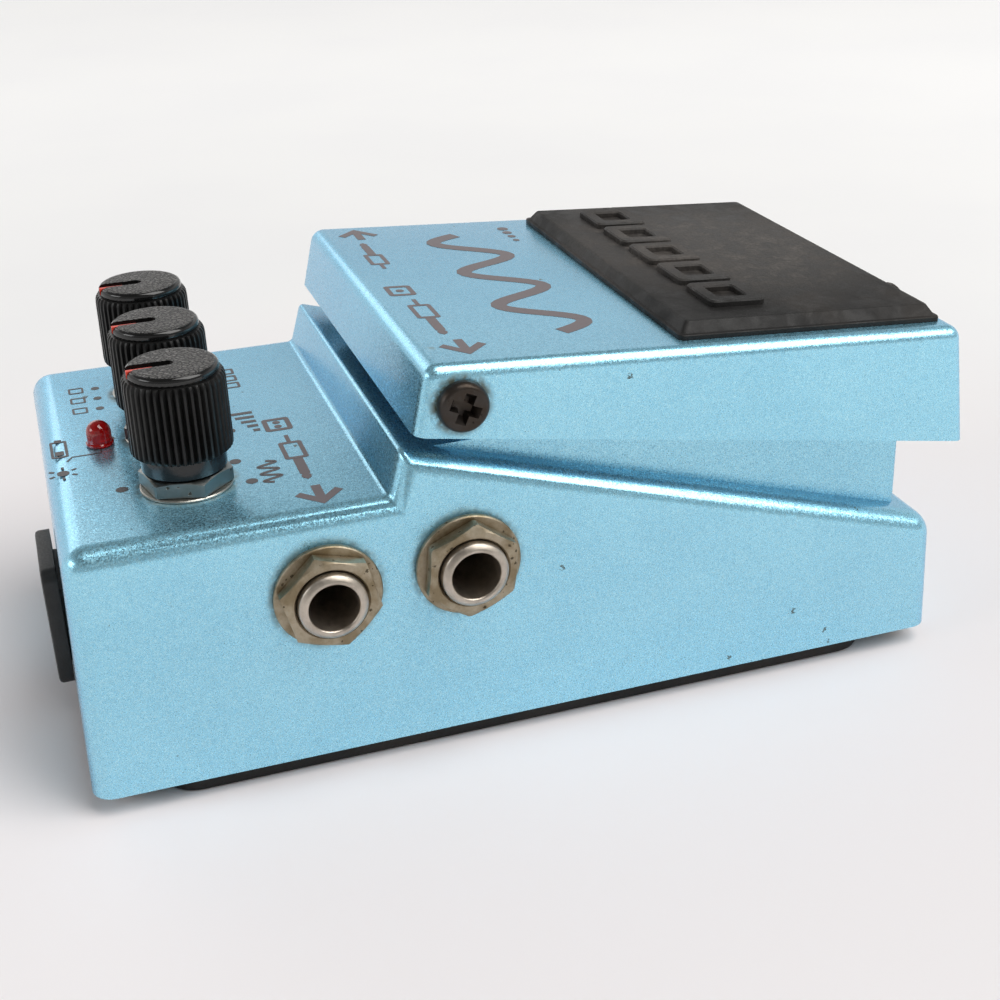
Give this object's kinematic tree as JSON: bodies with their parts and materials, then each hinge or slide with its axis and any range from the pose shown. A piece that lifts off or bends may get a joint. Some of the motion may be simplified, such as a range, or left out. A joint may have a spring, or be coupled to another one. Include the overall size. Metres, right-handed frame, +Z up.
{
  "type": "guitar effects pedal",
  "caption": "Compact foot pedal for guitar effects: cast case with sprung treadle, rubber tread, fluted knobs, lamp, side jack sockets and rear power socket.",
  "frame": {"origin": "centre of the underside of the rubber base, on the floor it rests on", "axes": "+Z up, +Y away from the player towards the knobs and the power socket, +X to the player's right (the input side)"},
  "size_m": [0.0766, 0.1395, 0.0565],
  "materials": {
    "blue_paint": "metallic flake under clear coat, lightly worn",
    "black_rubber": "matte",
    "black_plastic": "satin",
    "grey_plastic": "matte",
    "nylon": "satin",
    "red_lens": "clear gloss",
    "nickel": "aged and pitted",
    "zinc": "dull plating",
    "black_steel": "blackened",
    "spring_steel": "bright",
    "plated_steel": "zinc plated",
    "board": "solder mask",
    "fibre": "paper-like",
    "battery_jacket": "printed jacket, satin",
    "capacitor_sleeve": "shrunk sleeve"
  },
  "bodies": {
    "case": {"amplifier_chip": "black_plastic", "base_plate": "plated_steel", "base_screw_front_left": "plated_steel", "base_screw_front_right": "plated_steel", "base_screw_rear_left": "plated_steel", "base_screw_rear_right": "plated_steel", "battery": "battery_jacket", "battery_snap": "black_plastic", "bias_trimmer": "grey_plastic", "board_screw_1": "plated_steel", "board_screw_2": "plated_steel", "case_shell": "blue_paint", "clock_chip": "black_plastic", "control_board": "board", "dc_jack": "black_plastic", "dc_jack_pin": "nickel", "delay_chip": "black_plastic", "depth_nut": "zinc", "depth_pot": "grey_plastic", "filter_capacitor": "capacitor_sleeve", "footswitch_body": "black_plastic", "guide_bush": "nylon", "hinge_bush_left": "nylon", "hinge_bush_right": "nylon", "input_jack": "black_plastic", "input_nut": "nickel", "input_washer": "nickel", "insulator_sheet": "fibre", "led_lens": "red_lens", "main_board": "board", "mode_nut": "zinc", "mode_switch": "grey_plastic", "output_a_jack": "black_plastic", "output_a_nut": "nickel", "output_a_washer": "nickel", "output_b_jack": "black_plastic", "output_b_nut": "nickel", "output_b_washer": "nickel", "output_capacitor": "capacitor_sleeve", "rate_nut": "zinc", "rate_pot": "grey_plastic", "rubber_base": "black_rubber"},
    "hinge": {"hinge_screw_left": "black_steel", "hinge_screw_right": "black_steel", "return_spring": "spring_steel"},
    "treadle": {"treadle_shell": "blue_paint", "treadle_pad": "black_rubber"},
    "plunger": {"switch_plunger": "nylon"},
    "rate_control": {"rate_shaft": "plated_steel", "rate_knob": "black_plastic"},
    "depth_control": {"depth_shaft": "plated_steel", "depth_knob": "black_plastic"},
    "mode_control": {"mode_shaft": "plated_steel", "mode_knob": "black_plastic"},
    "thumb_slide": {"thumbscrew_clip": "spring_steel"},
    "thumb_screw": {"thumbscrew": "black_steel"}
  },
  "joints": [
    {"name": "treadle_press", "type": "hinge", "parent": "case", "child": "hinge", "pos_m": [0, 0.0119, 0.0512], "axis": [-1, 0, 0], "range_deg": [-2.4, 0], "stiffness_Nm_per_rad": 8, "springref_deg": 1.72, "deforming": ["return_spring"]},
    {"name": "treadle_open", "type": "hinge", "parent": "hinge", "child": "treadle", "pos_m": [0, 0.0119, 0.0512], "axis": [-1, 0, 0], "range_deg": [0, 75]},
    {"name": "plunger_travel", "type": "slide", "parent": "case", "child": "plunger", "axis": [0, 0, 1], "range_m": [-0.0025, 0]},
    {"name": "thumbscrew_travel", "type": "slide", "parent": "treadle", "child": "thumb_slide", "axis": [0, 1, 0], "range_m": [0, 0.0022]},
    {"name": "thumbscrew_turn", "type": "hinge", "parent": "thumb_slide", "child": "thumb_screw", "pos_m": [0, -0.0611, 0.0405], "axis": [0, 1, 0], "range_deg": [0, 1135]},
    {"name": "rate_turn", "type": "hinge", "parent": "case", "child": "rate_control", "pos_m": [-0.0179, 0.0457, 0.0416], "axis": [0, 0, 1], "range_deg": [-150, 150]},
    {"name": "depth_turn", "type": "hinge", "parent": "case", "child": "depth_control", "pos_m": [0, 0.0457, 0.0416], "axis": [0, 0, 1], "range_deg": [-150, 150]},
    {"name": "mode_turn", "type": "hinge", "parent": "case", "child": "mode_control", "pos_m": [0.0179, 0.0457, 0.0416], "axis": [0, 0, 1], "range_deg": [-30, 30]}
  ],
  "couplings": [
    {"joint": "plunger_travel", "follows": "treadle_press", "m_per_rad": 0.0584},
    {"joint": "thumbscrew_turn", "follows": "thumbscrew_travel", "rad_per_m": 8976}
  ]
}
